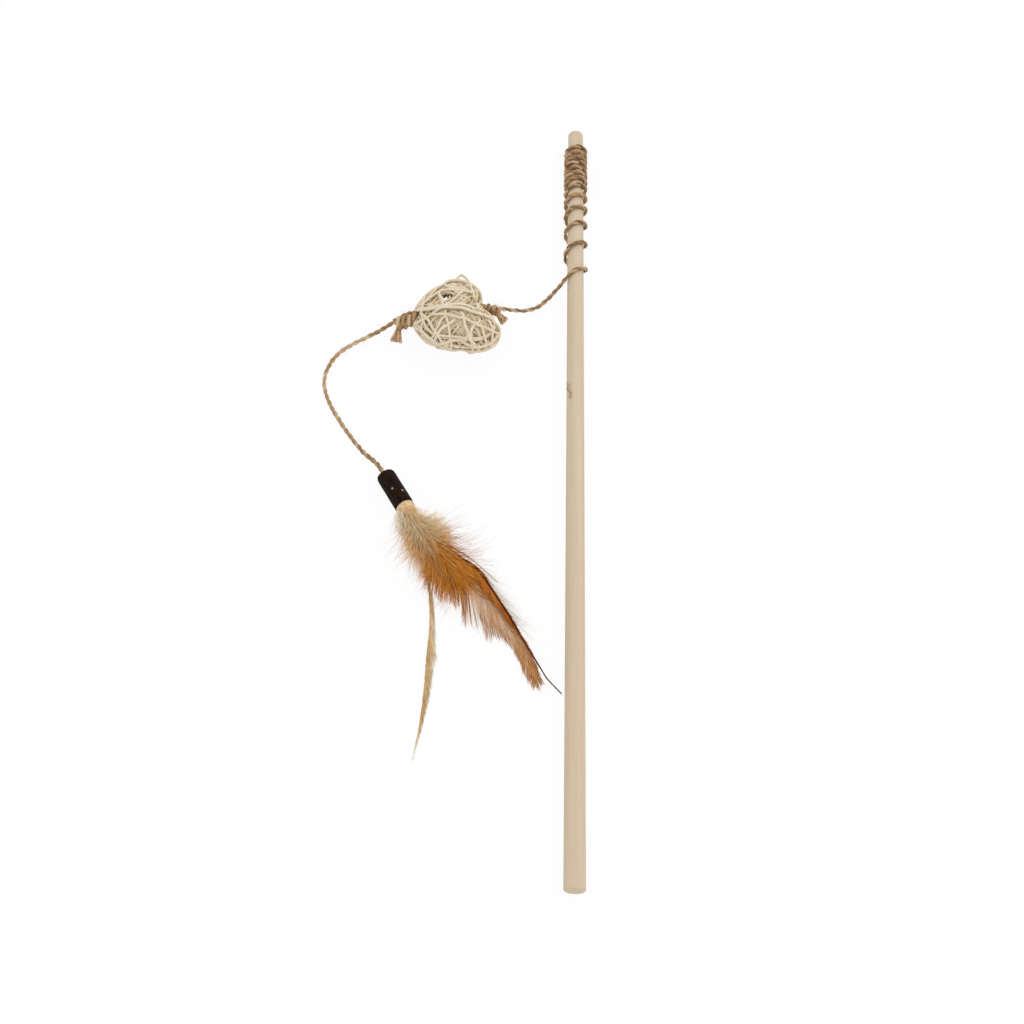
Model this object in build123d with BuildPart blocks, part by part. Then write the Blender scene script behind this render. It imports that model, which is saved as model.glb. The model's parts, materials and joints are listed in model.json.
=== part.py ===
import os
from math import asin, atan2, cos, degrees, log, pi, radians, sin, tan

from build123d import *

os.makedirs("parts", exist_ok=True)

# A cat teaser wand lying on a table: a wooden dowel along +Y with its foot at the origin,
# jute twine wound round its tip, a rattan heart on the twine and a feather lure at its end.

# Dowel
dowel_length = 400.0
dowel_diameter = 8.0
foot_edge = 0.5
tip_edge = 1.0

# Twine, two lengths of the same stuff, with flats in place of its lay
twine_diameter = 2.3
twine_sides = 4
twine_end_radius = 1.06
running_gap = 0.3

# Winding: tight turns from the tip, then turns that open out towards the exit
bare_tip = 15.1
tight_turns = 6
tight_pitch = 3.95
open_turns = 6
open_pitch = 5.08
open_growth = 1.26
lead_in = 0.5
exit_turn = 0.125
free_turn = 0.625

# Heart, measured over its outermost vines, point towards -X
# Places are across from the dowel, back from its tip, and up, so that they go with its length
heart_place = (-56.5, 137.3)
heart_thickness = 23.0
point_reach = 21.5
cleft = (6.4, 1.6)
near_lobe = (10.5, -9.5)
near_lobe_radius = 11.3
far_lobe = (1.5, 10.5)
far_lobe_radius = 10.8
near_lobe_stop = 100.0
far_lobe_start = -55.0
lobe_steps = 6
rise_steps = (-72, -52, -28, 0, 28, 52, 72)

# Vines of the heart, wound in layers from the inside out
vine_width = 1.7
vine_thickness = 1.0
vine_gap = 0.2
slant = 42.0

# Knots
knot_radius = 2.9
knot_corners = 10
knot_rings = ((-2.9, 0.6), (-1.7, 2.3), (-1.1, 3.3), (1.1, 3.3), (1.7, 2.3), (2.9, 0.6))
tail_flare = 1.5
ball_corners = 8
heart_knot_place = (-42.1, 132.1)
heart_tail_end = (-33.2, 135.7, -0.2)
point_tail_end = (-84.3, 148.0, -1.8)

# Cap and the feathers that it holds
cap_length = 18.3
cap_diameter = 8.4
cap_bore = 6.0
cap_edge = 1.0
cap_top_place = (-82.6, 224.6)
cap_foot_place = (-73.0, 240.2)
glue_depth = 9.5
glue_gap = 0.1
tucked_length = 7.0
quill_diameter = 1.1
quill_step = 1.5
quill_in_cap = 8.0
quill_out = 6.0
blade_thickness = 0.7

# The twine's own routes, chosen by hand, from exit to heart and from heart to cap
first_run = 7.0
upper_route = [
    (-12.7, 116.3, -3.2),
    (-18.0, 121.1, -4.9),
    (-24.4, 123.4, -5.1),
    (-30.3, 124.2, -3.7),
    (-34.6, 126.3, -0.7),
]
lower_route = [
    (-91.9, 141.4, -0.8),
    (-98.5, 143.5, -3.5),
    (-105.3, 146.8, -4.9),
    (-111.3, 152.2, -4.9),
    (-115.3, 159.9, -4.9),
    (-116.8, 168.7, -4.8),
    (-115.0, 177.3, -4.7),
    (-111.0, 186.0, -4.6),
    (-105.8, 194.4, -4.6),
    (-100.0, 202.9, -4.5),
    (-93.8, 211.1, -4.0),
    (-87.4, 217.2, -2.4),
]

# What follows from these
dowel_radius = dowel_diameter / 2
twine_radius = twine_diameter / 2
winding_radius = dowel_radius + running_gap + twine_radius
tip_plane = Plane(origin=(0, dowel_length, 0))
last_turn = tight_turns + open_turns
swing_gap = twine_end_radius + running_gap


def from_tip(across, back, up=0):
    return Vector(across, dowel_length - back, up)


def turn_height(turn):
    # Where along the dowel, from its tip, the twine is after so many turns
    opened = max(turn - tight_turns, 0)
    tight = min(turn, tight_turns) * tight_pitch
    return -bare_tip - tight - open_pitch * (open_growth**opened - 1) / log(open_growth)


def turn_pitch(turn):
    opened = turn - tight_turns
    return tight_pitch if opened <= 0 else open_pitch * open_growth**opened


def turn_point(turn):
    # Turn 0 is on top of the dowel, and the twine goes over it from right to left
    angle = pi / 2 + 2 * pi * turn
    return Vector(winding_radius * cos(angle), turn_height(turn), winding_radius * sin(angle))


def turn_direction(turn):
    angle = pi / 2 + 2 * pi * turn
    rim = 2 * pi * winding_radius
    return Vector(-rim * sin(angle), -turn_pitch(turn), rim * cos(angle)).normalized()


def add_turns(first, last):
    # Two tangent arcs for each quarter turn
    quarters = max(round((last - first) * 4), 1)
    for quarter in range(quarters):
        start = first + (last - first) * quarter / quarters
        end = first + (last - first) * (quarter + 1) / quarters
        p, q = turn_point(start), turn_point(end)
        t, s = turn_direction(start), turn_direction(end)
        chord = q - p
        along = chord.dot(t + s)
        bend = 2 * (t.dot(s) - 1)
        reach = (along - (along**2 - bend * chord.dot(chord)) ** 0.5) / bend
        middle = ((p + t * reach) + (q - s * reach)) / 2
        TangentArc(p, middle, tangent=t)
        TangentArc(middle, q, tangent=(q - s * reach) - (p + t * reach))


def skin(rings):
    # A closed solid over a stack of like rings
    faces = [Face(Wire.make_polygon(ring)) for ring in (rings[0], rings[-1])]
    for low, high in zip(rings, rings[1:]):
        for i, corner in enumerate(low):
            faces.append(Face(Wire.make_polygon([low[i - 1], corner, high[i], high[i - 1]])))
    return Solid(Shell(faces))


def half_ball(middle, axis, radius):
    # The half profile of a faceted ball, to be turned about the axis
    angles = [2 * pi * i / ball_corners for i in range(ball_corners // 2 + 1)]
    with BuildSketch(Plane(origin=middle, x_dir=axis, z_dir=axis.cross(Vector(0, 0, 1)))) as half:
        with BuildLine():
            Polyline(*[(radius * cos(a), radius * sin(a)) for a in angles], close=True)
        make_face()
    return half.sketch


def corner_radii(points):
    # Each bend of a twine is as large as its two runs allow
    radii = []
    for before, here, after in zip(points, points[1:], points[2:]):
        turn = radians((here - before).get_angle(after - here))
        shorter = min((here - before).length, (after - here).length)
        radii.append(0.45 * shorter / tan(turn / 2))
    return radii


def route_length(points, radii):
    length = sum((b - a).length for a, b in zip(points, points[1:]))
    for before, here, after, radius in zip(points, points[1:], points[2:], radii):
        turn = radians((here - before).get_angle(after - here))
        length -= radius * (2 * tan(turn / 2) - turn)
    return length


def least_self_gap(first, last):
    # Between points a half turn or more apart along the winding
    steps = 24
    marks = [first + i / steps for i in range(int((last - first) * steps) + 1)]
    points = [turn_point(mark) for mark in marks]
    gaps = []
    for i, here in enumerate(points):
        gaps += [(here - there).length for there in points[i + steps // 2:]]
    return min(gaps) - twine_diameter


# Wooden dowel
with BuildPart() as dowel:
    with BuildSketch(Plane.XZ):
        Circle(dowel_radius)
    extrude(amount=-dowel_length)
    chamfer(dowel.edges().group_by(Axis.Y)[0], foot_edge)
    chamfer(dowel.edges().group_by(Axis.Y)[-1], tip_edge)
dowel.part.label = "dowel"
export_step(dowel.part, "parts/dowel.step")

# Winding, fast on the dowel down to the underside of its last turn
cut_turn = last_turn + exit_turn - free_turn
cut_height = turn_height(cut_turn)
with BuildPart() as winding:
    with BuildLine() as winding_line:
        start = turn_point(-lead_in)
        Line(start - turn_direction(-lead_in) * twine_diameter, start)
        add_turns(-lead_in, cut_turn + lead_in)
    with BuildSketch(Plane(origin=winding_line.line @ 0, z_dir=winding_line.line % 0)):
        RegularPolygon(twine_radius, twine_sides)
    sweep(clean=False)
    with BuildSketch(Plane.XZ.offset(-cut_height - running_gap / 2)):
        Circle(2 * winding_radius)
    extrude(amount=turn_pitch(cut_turn), mode=Mode.SUBTRACT, clean=False)
tip_winding = tip_plane.from_local_coords(winding.part)
tip_winding.label = "tip_winding"
export_step(tip_winding, "parts/tip_winding.step")
print("winding: least gap to itself", round(least_self_gap(-lead_in, cut_turn), 2))

# The table under the dowel's foot and the last fast turn, as seen from the dowel
table_slope = (winding_radius + twine_radius - dowel_radius) / (dowel_length + cut_height)


def table_at(back):
    return -dowel_radius - table_slope * (dowel_length - back)


# Heart: nested formers, each vine a band cut from the shell between two of them
heart_middle = from_tip(*heart_place, table_at(heart_place[1]) + heart_thickness / 2 + running_gap / 3)
layer_step = vine_thickness + vine_gap
layer_names = ["rim", "left_slant", "right_slant", "cross", "long"]
outer_level = layer_step * (len(layer_names) - 1) + vine_thickness


def lobe_arc(centre, radius, first, last):
    angles = [radians(first + (last - first) * i / lobe_steps) for i in range(lobe_steps + 1)]
    return [Vector(centre[0] + radius * cos(a), centre[1] + radius * sin(a)) for a in angles]


def point_tangent(centre, radius, side):
    # The angle on a lobe where a straight side from the heart's point touches it
    across, up = centre[0] + point_reach, centre[1]
    lean = asin(radius / (across**2 + up**2) ** 0.5)
    return degrees(atan2(up, across) + side * (lean + pi / 2))


heart_outline = [Vector(-point_reach, 0)]
heart_outline += lobe_arc(near_lobe, near_lobe_radius, point_tangent(near_lobe, near_lobe_radius, -1), near_lobe_stop)
heart_outline += [Vector(*cleft)]
heart_outline += lobe_arc(far_lobe, far_lobe_radius, far_lobe_start, point_tangent(far_lobe, far_lobe_radius, 1))


def heart_former(level):
    # A faceted heart, full size at the outer level, smaller and thinner inside it
    inset = outer_level - level
    half_height = heart_thickness / 2 - inset
    share = 1 - inset / point_reach
    rings = []
    for rise in rise_steps:
        spread = share * cos(radians(rise))
        lift = half_height * sin(radians(rise)) / sin(radians(rise_steps[-1]))
        rings.append([heart_middle + Vector(p.X * spread, p.Y * spread, lift) for p in heart_outline])
    return skin(rings)


slant_x, slant_y = cos(radians(slant)), sin(radians(slant))
band_normals = {
    "rim": Vector(0, 0, 1),
    "cross": Vector(1, 0, 0),
    "long": Vector(0, 1, 0),
    "left_slant": Vector(slant_x, slant_y, 0),
    "right_slant": Vector(slant_x, -slant_y, 0),
}
band_places = {
    "rim": (-3.4, 0, 3.4),
    "cross": (-11, -5, 1, 7, 13),
    "long": (-13.5, -7, 0, 7, 13.5),
    "left_slant": (-10, -4, 2, 8),
    "right_slant": (-9, -3, 3, 9, 15),
}
for layer, name in enumerate(layer_names):
    level = layer * layer_step
    normal = band_normals[name]
    band_planes = [Plane(origin=heart_middle + normal * place, z_dir=normal) for place in band_places[name]]
    with BuildPart(*band_planes) as bands:
        Box(4 * point_reach, 4 * point_reach, vine_width)
    with BuildPart() as vines:
        add(heart_former(level + vine_thickness))
        add(heart_former(level), mode=Mode.SUBTRACT)
        add(bands.part, mode=Mode.INTERSECT)
    vines.part.label = name + "_vines"
    export_step(vines.part, "parts/" + name + "_vines.step")

# Knots, one in the cleft and one at the point, each with its cut tail
heart_knot = from_tip(*heart_knot_place, heart_middle.Z - running_gap)
point_knot = heart_middle - Vector(point_reach + knot_radius + running_gap, 0, 0)
knot_hold = knot_radius + swing_gap
upper_last = from_tip(*upper_route[-1])
lower_first = from_tip(*lower_route[0])
upper_pivot = heart_knot + (upper_last - heart_knot).normalized() * knot_hold
lower_pivot = point_knot + (lower_first - point_knot).normalized() * knot_hold
knots = {
    "cleft_knot": (heart_knot, upper_pivot, heart_tail_end),
    "point_knot": (point_knot, lower_pivot, point_tail_end),
}
for name, (middle, pivot, tail_end) in knots.items():
    axis = (pivot - middle).normalized()
    ring_plane = Plane(origin=middle, z_dir=axis)
    rings = []
    for along, radius in knot_rings:
        steps = [2 * pi * i / knot_corners for i in range(knot_corners)]
        corners = [(radius * cos(a), radius * sin(a), along) for a in steps]
        rings.append([ring_plane.from_local_coords(Vector(*corner)) for corner in corners])
    tail = from_tip(*tail_end) - middle
    tail_plane = Plane(origin=middle, z_dir=tail)
    with BuildPart() as knot:
        add(skin(rings))
        with BuildSketch(tail_plane):
            RegularPolygon(twine_radius, ball_corners)
        with BuildSketch(tail_plane.offset(tail.length)):
            RegularPolygon(tail_flare, ball_corners)
        loft()
    knot.part.label = name
    export_step(knot.part, "parts/" + name + ".step")

# Upper twine: the last of the winding, free to turn on the dowel, then the stretch to the heart
leave = last_turn + exit_turn
leave_point = turn_point(leave)
upper_points = [leave_point, leave_point + turn_direction(leave) * first_run]
upper_places = [from_tip(*p) for p in upper_route] + [upper_pivot]
upper_points += [tip_plane.to_local_coords(place) for place in upper_places]
upper_radii = corner_radii(upper_points)
with BuildPart() as upper:
    with BuildLine() as upper_line:
        add_turns(cut_turn - lead_in / 2, leave)
        FilletPolyline(*upper_points, radius=upper_radii)
    with BuildSketch(Plane(origin=upper_line.line @ 0, z_dir=upper_line.line % 0)):
        RegularPolygon(twine_radius, twine_sides)
    sweep(clean=False)
    with BuildSketch(Plane.XZ.offset(-cut_height + running_gap / 2)):
        Circle(2 * winding_radius)
    extrude(amount=-turn_pitch(cut_turn), mode=Mode.SUBTRACT, clean=False)
    upper_end = (upper_pivot - upper_last).normalized()
    revolve(half_ball(upper_points[-1], upper_end, twine_end_radius), axis=Axis(upper_points[-1], upper_end))
upper_twine = tip_plane.from_local_coords(upper.part)
upper_twine.label = "upper_twine"
export_step(upper_twine, "parts/upper_twine.step")

# Cap sleeve, with a glue plug and the tucked end of the twine inside
cap_level = table_at(cap_foot_place[1]) + cap_diameter / 2
cap_top = from_tip(*cap_top_place, cap_level)
cap_axis = (from_tip(*cap_foot_place, cap_level) - cap_top).normalized()
cap_foot = cap_top + cap_axis * cap_length
cap_line = Axis(cap_top, cap_axis)
cap_plane = Plane(origin=cap_top, z_dir=cap_axis)
with BuildPart() as cap_sleeve:
    with BuildSketch(cap_plane):
        Circle(cap_diameter / 2)
        Circle(cap_bore / 2, mode=Mode.SUBTRACT)
    extrude(amount=cap_length)
    chamfer(cap_sleeve.edges().group_by(cap_line)[0].sort_by(SortBy.RADIUS)[-1], cap_edge)
cap_sleeve.part.label = "cap_sleeve"
export_step(cap_sleeve.part, "parts/cap_sleeve.step")

with BuildPart() as glue_plug:
    with BuildSketch(cap_plane):
        Circle(cap_bore / 2 - glue_gap)
    extrude(amount=glue_depth)
    with BuildSketch(cap_plane):
        Circle(twine_radius + glue_gap)
    extrude(amount=tucked_length, mode=Mode.SUBTRACT)
glue_plug.part.label = "glue_plug"
export_step(glue_plug.part, "parts/glue_plug.step")

with BuildPart() as tucked_end:
    with BuildSketch(cap_plane):
        RegularPolygon(twine_radius, twine_sides)
    extrude(amount=tucked_length)
tucked_end.part.label = "tucked_end"
export_step(tucked_end.part, "parts/tucked_end.step")

# Lower twine, from the heart's point round to the cap
cap_pivot = cap_top - cap_axis * swing_gap
lower_points = [lower_pivot] + [from_tip(*p) for p in lower_route] + [cap_pivot]
lower_radii = corner_radii(lower_points)
with BuildPart() as lower_twine:
    with BuildLine() as lower_line:
        FilletPolyline(*lower_points, radius=lower_radii)
    with BuildSketch(Plane(origin=lower_line.line @ 0, z_dir=lower_line.line % 0)):
        RegularPolygon(twine_radius, twine_sides)
    sweep(clean=False)
    for pivot in (lower_pivot, cap_pivot):
        revolve(half_ball(pivot, cap_axis, twine_end_radius), axis=Axis(pivot, cap_axis))
lower_twine.part.label = "lower_twine"
export_step(lower_twine.part, "parts/lower_twine.step")

# Feathers: a flat vane with its quill, each drooping from its own height in the cap to the table
feathers = {
    "straw_feather": {"lift": -quill_step, "tip": (-60.7, 355.3), "drop": -3.9, "bow": 9.5, "left": 2.4, "right": 2.4},
    "tan_feather": {"lift": 0, "tip": (-14.6, 324.4), "drop": -3.3, "bow": 0, "left": 7.5, "right": 12.0},
    "rust_feather": {"lift": quill_step, "tip": (-5.7, 325.0), "drop": -1.9, "bow": 3.8, "left": 1.3, "right": 1.3},
}
for name, feather in feathers.items():
    root = cap_foot + Vector(0, 0, feather["lift"])
    reach = from_tip(*feather["tip"], feather["drop"]) - root
    side = Vector(0, 0, 1).cross(reach)
    vane_plane = Plane(origin=root, x_dir=reach, z_dir=reach.cross(side))
    half_quill = quill_diameter / 2
    middle = reach.length / 2
    with BuildPart() as vane:
        with BuildSketch(vane_plane):
            with BuildLine():
                base_left = (0, half_quill)
                base_right = (0, -half_quill)
                tip = (reach.length, 0)
                ThreePointArc(base_left, (middle, feather["bow"] + feather["left"]), tip)
                ThreePointArc(tip, (middle, feather["bow"] - feather["right"]), base_right)
                Line(base_right, base_left)
            make_face()
        extrude(amount=blade_thickness / 2, both=True)
        with BuildSketch(Plane(origin=root - cap_axis * quill_in_cap, z_dir=cap_axis)):
            Circle(half_quill)
        extrude(amount=quill_in_cap + quill_out)
    vane.part.label = name
    export_step(vane.part, "parts/" + name + ".step")

# Down at the base, a tuft above the quills and one under them
tufts = {
    "tan_down": {"place": (-57.4, 259.3), "size": (36.0, 24.0), "turn": -55.0, "from": 0.8, "height": 5.0},
    "white_down": {"place": (-66.3, 255.3), "size": (26.0, 18.0), "turn": -70.0, "from": -5.1, "height": 1.6},
}
tuft_corners = 20
tuft_rises = (0, 20, 42, 66)
for name, tuft in tufts.items():
    middle = from_tip(*tuft["place"], tuft["from"])
    rings = []
    for rise in tuft_rises:
        spread = cos(radians(rise)) / 2
        lift = tuft["height"] * sin(radians(rise)) / sin(radians(tuft_rises[-1]))
        ring = []
        for i in range(tuft_corners):
            angle = 2 * pi * i / tuft_corners
            out = Vector(tuft["size"][0] * cos(angle), tuft["size"][1] * sin(angle)) * spread
            ring.append(middle + out.rotate(Axis.Z, tuft["turn"]) + Vector(0, 0, lift))
        rings.append(ring)
    with BuildPart() as down:
        add(skin(rings))
    down.part.label = name
    export_step(down.part, "parts/" + name + ".step")

section_area = twine_sides / 2 * twine_radius**2 * sin(2 * pi / twine_sides)
print("upper twine radii", [round(r, 1) for r in upper_radii], "length", round(upper_line.wires()[0].length, 1))
print("lower twine radii", [round(r, 1) for r in lower_radii], "length", round(lower_line.wires()[0].length, 1))
print("lower twine volume", lower_twine.part.volume, section_area * route_length(lower_points, lower_radii))
print("pivots", upper_pivot, lower_pivot, cap_pivot)
print("free stretch of the upper twine", round(route_length(upper_points, upper_radii), 1))
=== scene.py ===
import json
import math

import bpy
import numpy as np
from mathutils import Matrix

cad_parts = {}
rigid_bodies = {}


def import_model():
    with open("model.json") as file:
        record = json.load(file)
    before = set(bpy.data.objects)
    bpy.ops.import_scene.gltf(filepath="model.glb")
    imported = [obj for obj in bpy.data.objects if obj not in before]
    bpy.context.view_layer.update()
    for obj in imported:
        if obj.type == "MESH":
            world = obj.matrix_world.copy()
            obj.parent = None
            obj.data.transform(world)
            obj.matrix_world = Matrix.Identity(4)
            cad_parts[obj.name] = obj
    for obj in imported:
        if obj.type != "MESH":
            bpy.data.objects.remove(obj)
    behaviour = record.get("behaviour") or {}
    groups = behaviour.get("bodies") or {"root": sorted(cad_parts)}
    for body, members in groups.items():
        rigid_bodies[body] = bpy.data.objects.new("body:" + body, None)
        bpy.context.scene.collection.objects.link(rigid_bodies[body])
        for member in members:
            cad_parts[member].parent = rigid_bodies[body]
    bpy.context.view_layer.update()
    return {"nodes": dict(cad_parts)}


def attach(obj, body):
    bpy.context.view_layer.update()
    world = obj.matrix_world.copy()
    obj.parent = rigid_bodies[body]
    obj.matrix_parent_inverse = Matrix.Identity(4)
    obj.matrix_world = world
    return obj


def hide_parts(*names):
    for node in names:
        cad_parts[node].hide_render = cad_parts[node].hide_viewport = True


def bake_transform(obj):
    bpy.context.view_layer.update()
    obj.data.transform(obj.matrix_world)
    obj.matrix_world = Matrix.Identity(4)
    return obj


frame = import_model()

scene = bpy.context.scene
scene.view_settings.view_transform = "Standard"
mm = 0.001
dice = np.random.default_rng(41)
upward = np.array([0.0, 0.0, 1.0])
white = (1, 1, 1, 1)
# the table slopes a little in the dowel's own frame, from its foot to the wound tip
table = {"foot": -4.0, "slope": 2.6 / 304.8}


def tone(red, green, blue):
    # colours are given on a 0-255 screen scale
    out = []
    for c in (red, green, blue):
        c = c / 255
        out.append(c / 12.92 if c <= 0.04045 else ((c + 0.055) / 1.055) ** 2.4)
    return (*out, 1.0)


def unit(v):
    v = np.asarray(v, float)
    return v / max(np.linalg.norm(v), 1e-12)


def ease(values, start, over):
    # 0 before start, 1 once over has passed
    return np.clip((values - start) / over, 0, 1)


def turned(turn, side, upper):
    # a direction that turns from side towards upper
    turn = np.asarray(turn)[..., None]
    return np.cos(turn) * side + np.sin(turn) * upper


def crossAxes(way):
    # a side and an upper direction, square to the way
    side = unit(np.cross(way, upward))
    return side, unit(np.cross(side, way))


def floorAt(y):
    return table["foot"] - table["slope"] * y


def keepAbove(points, gap):
    # nothing sinks into the table
    points[:, 2] = np.maximum(points[:, 2], floorAt(points[:, 1]) + gap)


# node helpers, then the shader groups that the materials share
def startTree(kind, name, ins, outs):
    tree = bpy.data.node_groups.new(name, kind)
    for way, sockets in (("INPUT", ins), ("OUTPUT", outs)):
        for label, socket in sockets:
            tree.interface.new_socket(label, in_out=way, socket_type="NodeSocket" + socket)
    return tree, tree.nodes.new("NodeGroupInput"), tree.nodes.new("NodeGroupOutput")


def addNode(tree, kind, inputs=None, **settings):
    node = tree.nodes.new(kind)
    for name, value in settings.items():
        setattr(node, name, value)
    for socket, value in (inputs or {}).items():
        node.inputs[socket].default_value = value
    return node


def wire(tree, *links):
    # each link: a node and its output, then a node and its input
    for source, out, sink, into in links:
        tree.links.new(source.outputs[out], sink.inputs[into])


def grainGroup():
    # stretched noise: two tones and a height
    tree, gin, gout = startTree("ShaderNodeTree", "grain", [("Vector", "Vector"), ("Stretch", "Vector"),
            ("Dark", "Color"), ("Light", "Color"), ("From", "Float"), ("To", "Float")],
        [("Color", "Color"), ("Height", "Float")])
    scale = addNode(tree, "ShaderNodeVectorMath", operation="MULTIPLY")
    noise = addNode(tree, "ShaderNodeTexNoise", {"Scale": 1.0, "Detail": 5.0, "Roughness": 0.62})
    spread = addNode(tree, "ShaderNodeMapRange")
    mix = addNode(tree, "ShaderNodeMix", data_type="RGBA")
    wire(tree, (gin, "Vector", scale, 0), (gin, "Stretch", scale, 1), (scale, 0, noise, "Vector"),
        (noise, "Fac", spread, "Value"), (gin, "From", spread, "From Min"), (gin, "To", spread, "From Max"),
        (spread, "Result", mix, "Factor"), (gin, "Dark", mix, "A"), (gin, "Light", mix, "B"),
        (mix, "Result", gout, "Color"), (noise, "Fac", gout, "Height"))
    return tree


def strandGroup():
    # coordinates that run along a strand and twist round it
    tree, gin, gout = startTree("ShaderNodeTree", "strandPlace", [("Twist", "Float")],
        [("Vector", "Vector"), ("Shade", "Float")])
    along, around, shade = (addNode(tree, "ShaderNodeAttribute", attribute_name=name)
        for name in ("along", "around", "shade"))
    turn = addNode(tree, "ShaderNodeMath", operation="MULTIPLY_ADD")
    join = addNode(tree, "ShaderNodeCombineXYZ")
    wire(tree, (along, "Fac", turn, 0), (gin, "Twist", turn, 1), (around, "Fac", turn, 2),
        (turn, 0, join, "X"), (along, "Fac", join, "Y"), (shade, "Fac", join, "Z"),
        (join, "Vector", gout, "Vector"), (shade, "Fac", gout, "Shade"))
    return tree


grain = grainGroup()
strandPlace = strandGroup()


def startMaterial(name, roughness, shine=0.25):
    mat = bpy.data.materials.new(name)
    mat.use_nodes = True
    shader = mat.node_tree.nodes["Principled BSDF"]
    shader.inputs["Roughness"].default_value = roughness
    shader.inputs["Specular IOR Level"].default_value = shine
    return mat, mat.node_tree, shader


def grainNode(tree, source, stretch, dark, light, span):
    values = {"Stretch": stretch, "Dark": dark, "Light": light, "From": span[0], "To": span[1]}
    node = addNode(tree, "ShaderNodeGroup", values, node_tree=grain)
    tree.links.new(source, node.inputs["Vector"])
    return node


def addBump(tree, shader, height, strength, distance):
    bump = addNode(tree, "ShaderNodeBump", {"Strength": strength, "Distance": distance})
    tree.links.new(height, bump.inputs["Height"])
    wire(tree, (bump, "Normal", shader, "Normal"))


def multiply(tree, a, b, factor=1.0):
    mix = addNode(tree, "ShaderNodeMix", {"Factor": factor}, data_type="RGBA", blend_type="MULTIPLY")
    tree.links.new(a, mix.inputs["A"])
    tree.links.new(b, mix.inputs["B"])
    return mix.outputs["Result"]


def strandMaterial(name, ramp, roughness, twist, stretch, depth, bump, shine=0.25):
    # colour from each strand's own shade, broken up by fibres that run along it
    mat, tree, shader = startMaterial(name, roughness, shine)
    place = addNode(tree, "ShaderNodeGroup", {"Twist": twist}, node_tree=strandPlace)
    colours = addNode(tree, "ShaderNodeValToRGB")
    stops = colours.color_ramp.elements
    while len(stops) < len(ramp):
        stops.new(0.5)
    for stop, (at, colour) in zip(stops, ramp):
        stop.position, stop.color = at, tone(*colour)
    wire(tree, (place, "Shade", colours, "Fac"))
    low = (depth, depth, depth, 1.0)
    fibre = grainNode(tree, place.outputs["Vector"], stretch, low, white, (0.3, 0.62))
    mixed = multiply(tree, colours.outputs["Color"], fibre.outputs["Color"])
    tree.links.new(mixed, shader.inputs["Base Color"])
    if bump:
        addBump(tree, shader, fibre.outputs["Height"], *bump)
    return mat


def grainMaterial(name, roughness, stretch, dark, light, span, bump):
    # one grain all over, in colour and in height
    mat, tree, shader = startMaterial(name, roughness)
    coords = addNode(tree, "ShaderNodeTexCoord")
    lumps = grainNode(tree, coords.outputs["Object"], stretch, dark, light, span)
    wire(tree, (lumps, "Color", shader, "Base Color"))
    addBump(tree, shader, lumps.outputs["Height"], *bump)
    return mat


# strands: lines with a radius and a shade, swept into tubes by one node tree
def sweepTree():
    tree, gin, gout = startTree("GeometryNodeTree", "sweepStrands",
        [("Geometry", "Geometry"), ("Sides", "Int"), ("Material", "Material")], [("Geometry", "Geometry")])
    lines = addNode(tree, "GeometryNodeMeshToCurve")
    ring = addNode(tree, "GeometryNodeCurvePrimitiveCircle", {"Radius": 1.0})
    place, placeRound = (addNode(tree, "GeometryNodeSplineParameter") for _ in range(2))
    along, around = (addNode(tree, "GeometryNodeStoreNamedAttribute", {"Name": name})
        for name in ("along", "around"))
    thick = addNode(tree, "GeometryNodeInputNamedAttribute", {"Name": "thick"})
    sweep = addNode(tree, "GeometryNodeCurveToMesh", {"Fill Caps": True})
    smooth, real, paint = (addNode(tree, "GeometryNode" + kind)
        for kind in ("SetShadeSmooth", "RealizeInstances", "SetMaterial"))
    wire(tree, (gin, "Geometry", lines, "Mesh"), (gin, "Sides", ring, "Resolution"),
        (lines, "Curve", along, "Geometry"), (place, "Length", along, "Value"),
        (ring, "Curve", around, "Geometry"), (placeRound, "Factor", around, "Value"),
        (along, "Geometry", sweep, "Curve"), (around, "Geometry", sweep, "Profile Curve"),
        (thick, "Attribute", sweep, "Scale"), (sweep, "Mesh", smooth, "Geometry"),
        (smooth, "Geometry", real, "Geometry"), (real, "Geometry", paint, "Geometry"),
        (gin, "Material", paint, "Material"), (paint, "Geometry", gout, "Geometry"))
    return tree


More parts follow.
